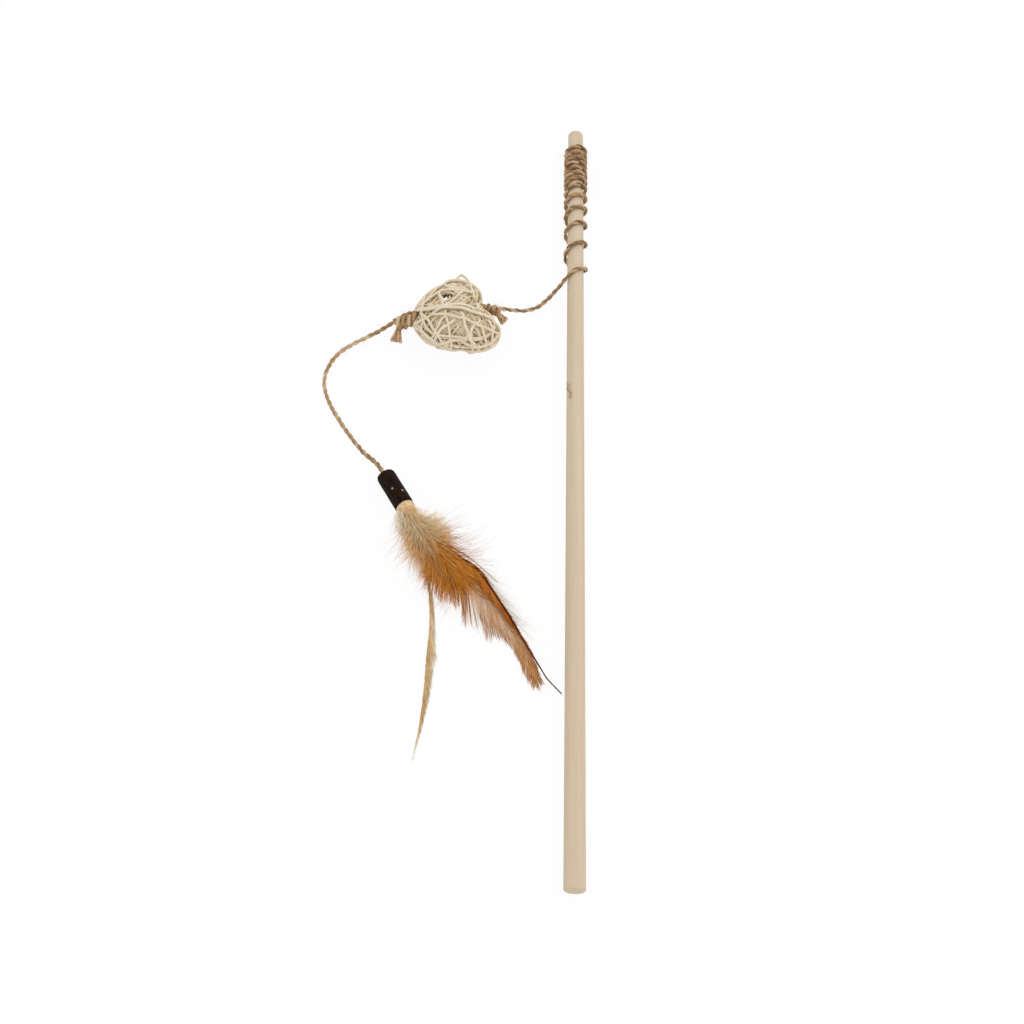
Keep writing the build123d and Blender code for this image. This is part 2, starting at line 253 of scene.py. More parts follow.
def fuzzTree():
    # loose fibres standing off a surface
    tree, gin, gout = startTree("GeometryNodeTree", "looseFibres",
        [("Geometry", "Geometry"), ("Fibre", "Object"), ("Density", "Float"), ("Shortest", "Float"),
            ("Longest", "Float"), ("Lean", "Float"), ("Seed", "Int"), ("Material", "Material")],
        [("Geometry", "Geometry")])
    spots, place, info, real, paint = (
        addNode(tree, "GeometryNode" + kind)
        for kind in ("DistributePointsOnFaces", "InstanceOnPoints", "ObjectInfo", "RealizeInstances",
                "SetMaterial"))
    leanBy = addNode(tree, "FunctionNodeRandomValue", data_type="FLOAT_VECTOR")
    size = addNode(tree, "FunctionNodeRandomValue", data_type="FLOAT")
    minus = addNode(tree, "ShaderNodeMath", {1: -1.0}, operation="MULTIPLY")
    lower = addNode(tree, "ShaderNodeCombineXYZ")
    upper = addNode(tree, "ShaderNodeCombineXYZ", {"Z": 6.283})
    spin = addNode(tree, "FunctionNodeEulerToRotation")
    turn = addNode(tree, "FunctionNodeRotateRotation", rotation_space="LOCAL")
    wire(tree, (gin, "Geometry", spots, "Mesh"), (gin, "Density", spots, "Density"),
        (gin, "Seed", spots, "Seed"), (gin, "Fibre", info, "Object"), (gin, "Lean", minus, 0))
    for axis in ("X", "Y"):
        wire(tree, (minus, 0, lower, axis), (gin, "Lean", upper, axis))
    # a random value's sockets go by number: 0 and 1 for vectors, 2 and 3 for floats
    wire(tree, (lower, 0, leanBy, 0), (upper, 0, leanBy, 1), (leanBy, 0, spin, "Euler"),
        (spots, "Rotation", turn, "Rotation"), (spin, "Rotation", turn, "Rotate By"),
        (gin, "Shortest", size, 2), (gin, "Longest", size, 3), (spots, "Points", place, "Points"),
        (info, "Geometry", place, "Instance"), (turn, "Rotation", place, "Rotation"),
        (size, 1, place, "Scale"), (place, "Instances", real, "Geometry"),
        (real, "Geometry", paint, "Geometry"), (gin, "Material", paint, "Material"),
        (paint, "Geometry", gout, "Geometry"))
    return tree


sweepStrands = sweepTree()
looseFibres = fuzzTree()


def finalMesh(obj):
    graph = bpy.context.evaluated_depsgraph_get()
    graph.update()
    return bpy.data.meshes.new_from_object(obj.evaluated_get(graph))


def bake(obj, tree, values):
    # runs a node tree on the object and keeps the plain mesh
    modifier = obj.modifiers.new(tree.name, "NODES")
    modifier.node_group = tree
    for socket in tree.interface.items_tree:
        if socket.in_out == "INPUT" and socket.name in values:
            modifier[socket.identifier] = values[socket.name]
    mesh = finalMesh(obj)
    obj.modifiers.remove(modifier)
    obj.data = mesh
    mesh.name = obj.name
    return obj


def addObject(name, data):
    obj = bpy.data.objects.new(name, data)
    scene.collection.objects.link(obj)
    return obj


def sweepPiece(name, strands, sides, material):
    # strands: (points in mm, radius in mm or one for each point, shade, closed)
    verts, edges, thick, shade = [], [], [], []
    for points, radius, tint, closed in strands:
        first = len(verts)
        verts += [tuple(p * mm) for p in np.asarray(points, float)]
        edges += [(first + i, first + i + 1) for i in range(len(points) - 1)]
        if closed:
            edges.append((len(verts) - 1, first))
        thick += list(np.broadcast_to(np.asarray(radius, float) * mm, len(points)))
        shade += list(np.broadcast_to(np.asarray(tint, float), len(points)))
    mesh = bpy.data.meshes.new(name)
    mesh.from_pydata(verts, edges, [])
    for label, values in (("thick", thick), ("shade", shade)):
        mesh.attributes.new(label, "FLOAT", "POINT").data.foreach_set("value", np.array(values, np.float32))
    return bake(addObject(name, mesh), sweepStrands, {"Sides": sides, "Material": material})


def joinPieces(name, parts):
    for obj in bpy.context.view_layer.objects:
        obj.select_set(False)
    for obj in parts:
        obj.select_set(True)
    bpy.context.view_layer.objects.active = parts[0]
    bpy.ops.object.join()
    parts[0].name = name
    return parts[0]


def splineLine(name, control, step):
    # a NURBS line through the route's points, read back as evenly spaced points in mm
    data = bpy.data.curves.new(name, "CURVE")
    data.dimensions = "3D"
    data.resolution_u = 10
    spline = data.splines.new("NURBS")
    spline.points.add(len(control) - 1)
    for knot, place in zip(spline.points, control):
        knot.co = (*(np.asarray(place, float) * mm), 1.0)
    spline.order_u = 3
    spline.use_endpoint_u = True
    obj = addObject(name, data)
    mesh = finalMesh(obj)
    line = np.array([v.co for v in mesh.vertices]) / mm
    bpy.data.objects.remove(obj)
    bpy.data.meshes.remove(mesh)
    return evenLine(line, step)


def lineMarks(line):
    # how far along the line each point lies
    return np.concatenate([[0], np.cumsum(np.linalg.norm(np.diff(line, axis=0), axis=1))])


def evenLine(line, step):
    at = lineMarks(line)
    keep = np.concatenate([[True], np.diff(at) > 1e-9])
    marks = np.linspace(0, at[-1], max(int(round(at[-1] / step)), 4) + 1)
    return np.stack([np.interp(marks, at[keep], line[keep, i]) for i in range(3)], axis=1)


def lineLength(line):
    return float(np.linalg.norm(np.diff(line, axis=0), axis=1).sum())


def lineFrames(line):
    # a side and an upper direction carried along without twist
    tangents = np.gradient(line, axis=0)
    tangents /= np.linalg.norm(tangents, axis=1)[:, None]
    side = unit(np.cross(upward + 0.01, tangents[0]))
    sides, uppers = [], []
    for t in tangents:
        side = unit(side - t * side.dot(t))
        sides.append(side)
        uppers.append(np.cross(t, side))
    return tangents, np.array(sides), np.array(uppers)


def slowNoise(count, bumps, seed):
    # a smooth random run from -1 to 1
    rng = np.random.default_rng(seed)
    knots = rng.uniform(-1, 1, max(int(bumps), 2) + 3)
    marks = np.linspace(0, len(knots) - 1.001, count)
    low = marks.astype(int)
    part = marks - low
    part = part * part * (3 - 2 * part)
    return knots[low] * (1 - part) + knots[np.minimum(low + 1, len(knots) - 1)] * part


# twine: two plies laid round each other
twine = {"diameter": 2.3, "plyRadius": 0.7, "plyOffset": 0.45, "lay": 7.4, "step": 0.42, "sides": 8,
    "pressFrom": 340, "pressOver": 15, "thin": 0.3, "wide": 0.45, "fat": 0.08, "dullFrom": 285,
    "dullOver": 30, "dullBy": 0.08, "tint": 0.36, "plyTint": 0.26, "drift": 0.34}
fuzz = {"density": 2.2e5, "length": 3.2, "lean": 1.25, "bend": 0.55, "radius": 0.045, "shortest": 0.35,
    "longest": 1.0}
jute = strandMaterial("juteTwine", [(0.0, (136, 102, 66)), (0.5, (194, 158, 116)), (1.0, (240, 212, 174))],
    0.85, 420.0, (9.0, 160.0, 30.0), 0.62, (0.9, 0.0005))
looseJute = strandMaterial("looseJute", [(0.0, (168, 124, 78)), (1.0, (226, 194, 150))], 0.8, 0.0,
    (1.0, 200.0, 9.0), 0.75, None)


def layPlies(line, seed, swell=1.0):
    _, sides, uppers = lineFrames(line)
    count = len(line)
    at = lineMarks(line)
    # the tight turns lie pressed flat against the dowel and each other
    press = ease(line[:, 1], twine["pressFrom"], twine["pressOver"])
    thin = 1 - twine["thin"] * press
    flat = np.stack([thin, 1 + twine["wide"] * press, thin], axis=1)
    dull = twine["dullBy"] * ease(line[:, 1], twine["dullFrom"], twine["dullOver"])
    strands = []
    for ply in range(2):
        loose = slowNoise(count, at[-1] / 4, seed + ply)
        twist = 0.25 * slowNoise(count, at[-1] / 9, seed + 5)
        turn = 2 * math.pi * at / twine["lay"] + ply * math.pi + twist
        out = twine["plyOffset"] * swell * (1 + 0.1 * loose)
        offset = out[:, None] * turned(turn, sides, uppers)
        uneven = 1 + twine["fat"] * press + 0.09 * slowNoise(count, at[-1] / 3, seed + 9 + ply)
        tint = twine["tint"] + twine["plyTint"] * ply - dull
        tint = tint + twine["drift"] * slowNoise(count, at[-1] / 12, seed + 20 + ply)
        strands.append((line + offset * flat, twine["plyRadius"] * swell * uneven, tint, False))
    return strands


def addFuzz(name, source, seed, **changes):
    look = {**fuzz, **changes}
    t = np.linspace(0, 1, 5)
    lift = look["bend"] * look["length"]
    points = np.stack([lift * t**2, 0.3 * lift * np.sin(3 * t), look["length"] * t], axis=1)
    fibre = sweepPiece("fibre", [(points, look["radius"] * (1 - 0.8 * t), 0.5, False)], 3, looseJute)
    obj = bake(addObject(name, source.data.copy()), looseFibres,
        {"Fibre": fibre, "Density": look["density"], "Shortest": look["shortest"],
            "Longest": look["longest"], "Lean": look["lean"], "Seed": seed, "Material": looseJute})
    bpy.data.objects.remove(fibre)
    return obj


# upper twine: wound on the dowel from its tip, then free to the heart
wound = {"radius": 5.15, "first": 384.9, "tight": 6, "tightPitch": 3.95, "openPitch": 5.08, "growth": 1.26,
    "start": -0.5, "leave": 12.125, "pointsPerTurn": 12, "lead": 7.0, "intoKnot": 1.4, "seed": 100,
    "fuzzSeed": 8, "slimFrom": 345, "slimOver": -20, "slimBy": 0.13,
    "heartPivot": np.array([-39.22, 270.13, 2.85]), "knot": np.array([-42.1, 267.9, 5.06]),
    "free": [(-12.7, 283.7, -3.2), (-18.0, 278.9, -4.9), (-24.4, 276.6, -5.1), (-30.3, 275.8, -3.7),
        (-34.6, 273.7, -0.7)]}


def turnHeight(turn):
    opened = max(turn - wound["tight"], 0)
    tight = min(turn, wound["tight"]) * wound["tightPitch"]
    growth = wound["growth"]
    loose = wound["openPitch"] * (growth**opened - 1) / math.log(growth)
    return wound["first"] - tight - loose


def turnPoint(turn, radius):
    angle = math.pi / 2 + 2 * math.pi * turn
    return np.array([radius * math.cos(angle), turnHeight(turn), radius * math.sin(angle)])


turnStep = 1 / wound["pointsPerTurn"]
# the spline cuts inside its points, so they stand a little further out
outside = wound["radius"] / (0.75 + 0.25 * math.cos(2 * math.pi * turnStep))
turns = np.arange(wound["start"], wound["leave"] + 1e-6, turnStep)
leaving = [turnPoint(wound["leave"] + nudge, wound["radius"]) for nudge in (-0.002, 0, 0.002)]
leaveWay = unit(leaving[2] - leaving[0])
pivot = wound["heartPivot"]
upperRoute = [turnPoint(t, outside) for t in turns]
upperRoute += [leaving[1] + leaveWay * wound["lead"], *wound["free"]]
upperRoute += [pivot, pivot + unit(wound["knot"] - pivot) * wound["intoKnot"]]
upperLine = splineLine("upperLine", upperRoute, twine["step"])
upperSwell = 1 - wound["slimBy"] * ease(upperLine[:, 1], wound["slimFrom"], wound["slimOver"])
upperTwine = sweepPiece("upperTwine", layPlies(upperLine, wound["seed"], upperSwell), twine["sides"], jute)
upperFuzz = addFuzz("upperFuzz", upperTwine, wound["fuzzSeed"])
print("upper twine", round(lineLength(upperLine), 1), "mm")

# lower twine: from the heart's point round to the cap
lower = {"start": (2.4, -0.2, 0.9), "pointPivot": np.array([-84.70, 261.36, 3.34]),
    "capPivot": np.array([-83.31, 176.56, -1.16]), "end": (0.9, -1.46, 0.0),
    "free": [(-91.9, 258.6, -0.8), (-98.5, 256.5, -3.5), (-105.3, 253.2, -4.9), (-111.3, 247.8, -4.9),
        (-115.3, 240.1, -4.9), (-116.8, 231.3, -4.8), (-115.0, 222.7, -4.7), (-111.0, 214.0, -4.6),
        (-105.8, 205.6, -4.6), (-100.0, 197.1, -4.5), (-93.8, 188.9, -4.0), (-87.4, 182.8, -2.4)],
    "swell": ([0, 0.15, 0.5, 0.8, 0.96, 1], [1.0, 0.92, 0.84, 0.9, 1.02, 0.72]), "bare": slice(20, -30),
    "seed": 200, "fuzzSeed": 9}
lowerRoute = [lower["pointPivot"] + np.array(lower["start"]), lower["pointPivot"], *lower["free"],
    lower["capPivot"], lower["capPivot"] + np.array(lower["end"])]
lowerLine = splineLine("lowerLine", lowerRoute, twine["step"])
lowerSwell = np.interp(np.linspace(0, 1, len(lowerLine)), *lower["swell"])
lowerPlies = layPlies(lowerLine, lower["seed"], lowerSwell)
lowerTwine = sweepPiece("lowerTwine", lowerPlies, twine["sides"], jute)
# its fibres keep clear of the knot and the cap that it swings in
clearPlies = [(*(part[lower["bare"]] for part in ply[:3]), False) for ply in lowerPlies]
clearTwine = sweepPiece("clearTwine", clearPlies, twine["sides"], jute)
lowerFuzz = addFuzz("lowerFuzz", clearTwine, lower["fuzzSeed"])
bpy.data.objects.remove(clearTwine)
print("lower twine", round(lineLength(lowerLine), 1), "mm")

# knots: wraps of the same twine and a frayed tail
knotFuzz = {"density": 5e5, "length": 3.4, "lean": 1.3}
fray = {"inner": 0.75, "sway": 0.25, "taper": 0.35, "thin": 0.2, "thick": 0.3, "sides": 5}


def wrapLine(start, end, radius, wraps, phase):
    start, end = np.array(start), np.array(end)
    side, upper = crossAxes(unit(end - start))
    t = np.linspace(0, 1, int(wraps * 36))
    turn = 2 * math.pi * wraps * t + phase
    swell = radius * (0.8 + 0.2 * np.sin(math.pi * t))
    return start + np.outer(t, end - start) + swell[:, None] * turned(turn, side, upper)


def frayedTail(start, end, count, spread, seed):
    rng = np.random.default_rng(seed)
    start, way = np.array(start), np.array(end) - np.array(start)
    side, upper = crossAxes(way)
    strands = []
    for _ in range(count):
        turn, out = rng.uniform(0, 2 * math.pi), math.sqrt(rng.uniform(0, 1))
        across = turned(turn, side, upper) * out
        t = np.linspace(0, rng.uniform(0.8, 1.06), 7)
        flare = fray["inner"] + (spread - fray["inner"]) * t**1.5
        sway = np.outer(np.sin(2.5 * t + turn), side) * fray["sway"]
        points = start + np.outer(t, way) + flare[:, None] * across + sway
        keepAbove(points, 0.2)
        thick = rng.uniform(fray["thin"], fray["thick"]) * (1 - fray["taper"] * t)
        strands.append((points, thick, rng.uniform(0.35, 1.0), False))
    return strands


knots = {
    "cleftKnot": {"from": (-36.4, 268.6, 3.4), "to": (-45.6, 267.2, 6.2), "radius": 1.75, "wraps": 3.6,
        "phase": 1.0, "swell": 1.1, "through": [(-44.0, 267.6, 5.6), (-47.5, 266.6, 6.0),
            (-51.0, 265.8, 5.6)], "tailFrom": (-38.4, 268.4, 3.6), "tail": (-33.4, 264.2, 0.6),
        "fibres": 70, "spread": 2.2, "seed": 31},
    "pointKnot": {"from": (-84.6, 258.9, 2.6), "to": (-75.0, 260.6, 6.8), "radius": 2.3, "wraps": 4.0,
        "phase": 2.4, "swell": 1.3, "through": [(-79.5, 261.4, 5.4), (-76.0, 262.0, 7.0),
            (-71.0, 262.8, 6.6)], "tailFrom": (-83.4, 259.0, 1.4), "tail": (-84.7, 252.6, -2.0),
        "fibres": 100, "spread": 2.9, "seed": 37},
}
knotPieces = {}
for name, knot in knots.items():
    wrapped = wrapLine(knot["from"], knot["to"], knot["radius"], knot["wraps"], knot["phase"])
    strands = layPlies(evenLine(wrapped, twine["step"]), knot["seed"], knot["swell"])
    strands += layPlies(splineLine("through", knot["through"], twine["step"]), knot["seed"] + 1)
    tail = frayedTail(knot["tailFrom"], knot["tail"], knot["fibres"], knot["spread"], knot["seed"])
    parts = [sweepPiece(name, strands, twine["sides"], jute),
        sweepPiece("tail", tail, fray["sides"], looseJute)]
    parts.append(addFuzz("knotFuzz", parts[0], knot["seed"], **knotFuzz))
    knotPieces[name] = joinPieces(name, parts)
print("knots", len(knotPieces))

# rattan heart: loops of vine wound over a pillow of heart outline
heart = {"middle": (-56.5, 262.7, 5.36), "half": 11.3, "core": np.array([-1.5, 0.0, 0.0]),
    "point": (-21.5, 0.0), "cleft": (6.4, 1.6), "nearLobe": (10.5, -9.5, 11.3), "nearCleft": 100.0,
    "farLobe": (0.9, 10.6, 11.3), "farCleft": -55.0, "vine": 0.66, "sides": 8, "pinch": 0.42,
    "pinchFrom": -2.0, "pinchOver": -18.0, "seed": 12, "gaps": (((-10.4, 1.6, 9.9), 3.0, 0.03),
        ((-3.5, 1.7, 10.5), 2.9, 0.05)), "gapDepth": 26, "sight": (-0.083, 0.683, -0.725), "guard": 1.12,
    "guardOver": -0.08}
vineLoop = {"points": 60, "outside": 34.0, "walk": 0.22, "walks": 160, "least": 1.0, "smooth": 5,
    "wave": 0.45, "sway": 0.9}
topVine = {"step": 0.6, "sway": 0.35, "tuck": 1.5, "tuckOver": 0.1, "shade": 0.86}
# the ramp's golden low end colours the deep inner layers as painted shade
rattan = strandMaterial("rattanVine", [(0.0, (228, 192, 134)), (0.45, (230, 211, 178)),
        (1.0, (234, 222, 199))], 0.55, 0.0, (5.0, 260.0, 40.0), 0.8, (0.5, 0.0003))


def heartOutline():
    # points of the outline, as seen from above, in order
    px, py = heart["point"]
    out = [np.array([px, py])]
    for (cx, cy, r), sign, cleftSide in ((heart["nearLobe"], -1, heart["nearCleft"]),
            (heart["farLobe"], 1, heart["farCleft"])):
        lean = math.asin(r / math.hypot(cx - px, cy - py))
        touch = math.degrees(math.atan2(cy - py, cx - px) + sign * (lean + math.pi / 2))
        ends = (touch, cleftSide) if sign < 0 else (cleftSide, touch)
        if sign > 0:
            out.append(np.array(heart["cleft"]))
        arc = np.radians(np.linspace(*ends, 40))
        out += list(np.stack([cx + r * np.cos(arc), cy + r * np.sin(arc)], axis=1))
    return np.array(out)


outline = heartOutline() - heart["core"][:2]
outlineTurn = np.arctan2(outline[:, 1], outline[:, 0])
outlineReach = np.hypot(outline[:, 0], outline[:, 1])
order = np.argsort(outlineTurn)


def heartFill(points, inset):
    # below 1 inside the heart, above 1 outside it
    x, y, z = np.moveaxis(points - heart["core"], -1, 0)
    reach = np.interp(np.arctan2(y, x), outlineTurn[order], outlineReach[order], period=2 * math.pi) - inset
    taper = ease(x, heart["pinchFrom"], heart["pinchOver"])
    deep = heart["half"] * (1 - heart["pinch"] * taper * taper * (3 - 2 * taper)) - inset
    return (np.hypot(x, y) / reach) ** 2.6 + (np.abs(z) / np.maximum(deep, 0.5)) ** 2.2


def heartLoop(way, offset, tilt, inset, seed):
    # where a leaning plane cuts the heart: way is its normal's direction from above, in degrees
    count = vineLoop["points"]
    flat = np.array([math.cos(math.radians(way)), math.sin(math.radians(way)), 0.0])
    normal = unit(flat * math.cos(math.radians(tilt)) + upward * math.sin(math.radians(tilt)))
    first = unit(np.cross(upward, normal)) if abs(normal[2]) < 0.9 else np.array([1.0, 0.0, 0.0])
    second = np.cross(normal, first)
    start = normal * offset + heart["core"] * (1 - abs(normal[0]))
    for spot, wide, _ in heart["gaps"]:
        # a plane that would cut through a gap moves to its edge
        miss = (spot - start) @ normal
        if abs(miss) < wide:
            start = start + normal * (miss - math.copysign(wide, miss))
    turn = np.linspace(0, 2 * math.pi, count, endpoint=False)
    rays = turned(turn, first, second)
    reach = np.full(count, vineLoop["outside"])
    for _ in range(vineLoop["walks"]):
        # walk in from outside to the first touch
        far = heartFill(start + rays * reach[:, None], inset) > 1.0
        reach = np.where(far, reach - vineLoop["walk"], reach)
    reach = np.maximum(reach, vineLoop["least"])
    for _ in range(vineLoop["smooth"]):
        reach = 0.25 * np.roll(reach, 1) + 0.5 * reach + 0.25 * np.roll(reach, -1)
    # the loop's two ends meet, so its waves die out there
    still = np.sin(np.linspace(0, math.pi, count)) ** 0.5
    wave = vineLoop["wave"] * slowNoise(count, 9, seed) * still
    sway = vineLoop["sway"] * slowNoise(count, 6, seed + 50) * still
    return start + rays * (reach + wave)[:, None] + normal * sway[:, None]


def onHeart(points, inset):
    # slides points in or out until they lie on the heart
    low, high = np.full(len(points), 0.2), np.full(len(points), 2.0)
    for _ in range(24):
        half = (low + high) / 2
        outside = heartFill(heart["core"] + (points - heart["core"]) * half[:, None], inset) > 1.0
        low, high = np.where(outside, low, half), np.where(outside, half, high)
    return heart["core"] + (points - heart["core"]) * low[:, None]


def pushAside(line):
    # two gaps in the weave stay open right through, so the other vines bend round them
    sight = unit(heart["sight"])
    for spot, wide, flare in heart["gaps"]:
        deep = (line[:, 2] - spot[2]) / sight[2]
        away = line - (np.array(spot) + np.outer(deep, sight))
        far = np.maximum(np.linalg.norm(away, axis=1), 0.05)
        wide = wide * (1 + flare * np.clip(deep, 0, heart["gapDepth"]))
        moved = away * (((far**4 + wide**4) ** 0.25 - far) / far)[:, None]
        # no vine is pushed out of the heart's outline
        keep = ease(heartFill(line + moved, heart["vine"]), heart["guard"], heart["guardOver"])
        line = line + moved * keep[:, None]
    return line


# the vines that show on top, from the middle of the heart
topVines = (
    (0.0, [(-20.9, 0.5, 2.2), (-15.1, -3.3, 8.0), (-8.0, -4.0, 10.0), (-2.2, -3.6, 10.4), (4.8, -4.6, 10.2),
            (11.8, -6.5, 9.2), (18.7, -7.5, 5.5)]),
    (0.0, [(-20.2, 0.8, 3.0), (-13.4, -2.5, 8.9), (-6.8, -3.5, 10.2), (0.0, -2.0, 10.5), (5.8, -2.2, 10.2),
            (10.3, -4.4, 9.5)]),
    (0.2, [(-19.7, -5.6, -1.4), (-14.8, -8.5, 6.7), (-10.2, -6.2, 9.4), (-5.1, -3.4, 10.3),
            (0.4, 1.4, 10.4), (4.6, 9.7, 9.3)]),
    (0.1, [(-13.7, -6.6, 8.0), (-7.8, -7.3, 9.6), (-1.9, -8.3, 9.9), (3.9, -9.5, 9.7), (10.3, -12.2, 8.6),
            (17.2, -13.4, 5.6), (21.2, -10.7, -1.2)]),
    (0.5, [(-19.6, -1.6, 4.1), (-14.2, -7.9, 7.4), (-9.8, -14.0, 6.2), (-5.1, -18.0, 2.6),
            (-1.1, -17.7, -4.1)]),
    (0.8, [(-4.3, -7.0, 10.0), (-6.1, -11.3, 8.8), (-8.6, -14.9, 5.9), (-10.2, -15.6, 0.0)]),
    (0.6, [(1.0, -10.1, 9.4), (-3.4, -13.1, 8.3), (-7.4, -15.7, 5.6), (-8.7, -16.9, 3.0),
            (-9.4, -16.4, -2.0)]),
    (0.7, [(-5.0, -4.9, 10.2), (-3.2, -10.8, 9.2), (-1.6, -16.7, 5.6), (-1.1, -18.1, -3.2)]),
    (0.4, [(3.2, -6.2, 10.2), (4.8, -10.8, 9.5), (6.8, -17.0, 6.3), (9.3, -19.9, -1.6)]),
    (0.6, [(13.1, -9.3, 8.5), (10.3, -12.2, 8.6), (7.9, -15.7, 7.4), (8.2, -18.6, 4.7), (10.5, -20.0, 1.2),
            (12.7, -19.6, -1.8)]),
    (0.5, [(16.5, -8.4, 7.2), (18.1, -12.7, 5.2), (17.9, -16.3, 2.5), (16.7, -17.8, -1.6)]),
    (0.9, [(9.6, -13.8, 8.0), (7.6, -16.2, 7.1), (5.3, -18.3, 3.4), (1.6, -18.0, -2.3)]),
    (0.3, [(-20.3, 1.7, 2.6), (-17.5, 3.1, 6.3), (-12.9, 6.6, 8.2), (-7.6, 8.1, 9.3), (-0.5, 7.1, 10.1),
            (4.2, 6.8, 9.8), (9.9, 7.5, 6.0)]),
    (0.2, [(-19.1, 0.8, 4.9), (-15.7, 4.7, 7.2), (-10.9, 10.6, 7.4), (-5.9, 15.6, 6.4), (0.1, 15.8, 7.6),
            (6.1, 14.1, 7.4), (10.3, 11.5, 5.1), (12.0, 11.1, -0.4)]),
    (0.7, [(-9.6, 9.6, 8.4), (-8.8, 7.3, 9.3), (-6.9, 1.7, 10.3), (-5.1, -2.7, 10.4)]),
    (0.5, [(6.0, 14.6, 7.2), (7.6, 8.3, 8.3), (8.9, 4.8, 6.3), (10.7, -4.0, 9.5)]),
    (0.8, [(-6.4, 14.8, 6.6), (-3.0, 9.1, 9.7), (0.1, 7.2, 10.1), (3.0, 5.2, 10.0)]),
    (0.4, [(9.8, 12.5, 6.2), (11.7, 11.2, 0.4), (11.6, 6.0, -3.0)]),
    (0.6, [(-15.4, -7.0, 7.0), (-16.0, -8.2, 5.9), (-16.3, -10.7, 3.5), (-15.4, -12.6, 0.4)]),
    (0.2, [(-20.0, -5.0, -1.2), (-16.0, -11.6, 2.8), (-11.7, -15.5, 2.2), (-8.7, -17.3, 1.3),
            (-4.2, -18.2, -2.3)]),
    (0.3, [(18.7, -7.9, 5.5), (21.0, -8.3, 0.4), (21.4, -11.3, -1.4), (18.9, -15.4, -1.6),
            (14.5, -19.1, -1.4)]),
    (0.8, [(12.4, -12.0, 8.2), (13.8, -14.4, 7.0), (15.1, -16.9, 4.7), (14.5, -19.2, -0.9)]),
    (0.1, [(-8.7, -17.3, 1.3), (-4.2, -18.2, -2.3), (1.4, -17.6, -4.0), (8.7, -19.9, -1.5),
            (15.0, -18.9, -1.2), (20.6, -12.2, -2.1)]),
    (0.9, [(-18.6, 2.6, 4.4), (-14.6, 7.2, 6.0), (-9.6, 12.2, 6.2), (-4.4, 16.2, 5.4), (1.2, 18.4, 4.6),
            (7.0, 17.6, 3.4)]),
    (1.4, [(-17.6, 4.6, 1.0), (-12.4, 10.2, 2.6), (-7.0, 15.0, 3.0), (-1.0, 18.6, 2.2), (5.0, 19.6, 1.4)]),
    (1.8, [(-16.0, 5.0, 6.0), (-11.0, 9.0, 7.4), (-6.0, 13.5, 6.8), (0.0, 15.5, 6.6)]),
    (1.0, [(-19.8, -3.4, 1.0), (-17.2, -9.0, 2.2), (-13.0, -13.6, 1.6), (-8.0, -16.6, 0.6),
            (-2.0, -17.8, -1.0)]),
    (1.5, [(-19.4, -2.2, 2.6), (-16.2, -8.6, 4.0), (-12.0, -13.0, 3.6), (-6.6, -16.2, 2.6)]),
)
vines = []
for i, (level, way) in enumerate(topVines):
    for flip in (1, -1):
        # the underside is woven the same way, turned over
        line = splineLine("vine", np.array(way) * (1, 1, flip), topVine["step"])
        count = len(line)
        t = np.linspace(0, 1, count)
        line = line + topVine["sway"] * slowNoise(count, 6, i + 7)[:, None] * lineFrames(line)[1]
        tuck = topVine["tuck"] * (ease(t, topVine["tuckOver"], -topVine["tuckOver"]) ** 2
            + ease(t, 1 - topVine["tuckOver"], topVine["tuckOver"]) ** 2)
        line = np.stack([onHeart(p[None], heart["vine"] + level + dip)[0] for p, dip in zip(line, tuck)])
        line = line if flip > 0 else pushAside(line)
        thick = heart["vine"] * dice.uniform(0.86, 1.08) * (1 + 0.07 * slowNoise(count, 8, i))
        # vines that lie deeper take a darker tone: painted shade
        shade = topVine["shade"] + 0.1 * dice.normal() - 0.1 * level + 0.1 * slowNoise(count, 7, i + 90)
        vines.append((line + heart["middle"], thick, np.clip(shade, 0, 1), False))
# rim loops, then layers inside, painted darker and more golden the deeper they lie: painted shade
vinePlan = [(20, -4.2, 84, 0.9, 0.7), (0, 0.4, 90, 0.9, 0.7), (200, 4.6, 83, 0.9, 0.7),
    (120, 1.6, 78, 0.9, 0.7)]
# each layer's tint range falls with its depth, as painted shade
for layer, count, low, high in ((2.0, 14, 0.5, 1.0), (3.1, 90, 0.3, 0.8), (4.6, 50, 0.0, 0.4)):
    for _ in range(count):
        way, offset, tilt = dice.uniform(0, 180), dice.uniform(-13, 13), dice.uniform(-40, 40)
        inset = layer + dice.uniform(-0.4, 0.4)
        vinePlan.append((way, offset, tilt, inset, dice.uniform(low, high)))
for i, (way, offset, tilt, inset, tint) in enumerate(vinePlan):
    loop = pushAside(heartLoop(way, offset, tilt, inset + heart["vine"], heart["seed"] + 3 * i))
    thick = heart["vine"] * dice.uniform(0.82, 1.1) * (1 + 0.07 * slowNoise(len(loop), 8, i))
    shade = np.clip(tint + 0.12 * slowNoise(len(loop), 7, i + 90), 0, 1)
    vines.append((loop + heart["middle"], thick, shade, True))
# one vine has sprung up at the far edge
sprung = {"thick": 0.6, "shade": 0.85, "way": [(-60.5, 279.0, 6.5), (-58.0, 281.6, 8.6),
        (-55.9, 285.6, 9.4), (-54.0, 285.6, 9.0), (-51.0, 282.6, 7.6), (-48.6, 279.6, 5.0)]}
sprungLine = splineLine("sprung", sprung["way"], topVine["step"])
vines.append((sprungLine, sprung["thick"], sprung["shade"], False))
heartVines = sweepPiece("heartVines", vines, heart["sides"], rattan)
print("heart", len(vines), "vines")

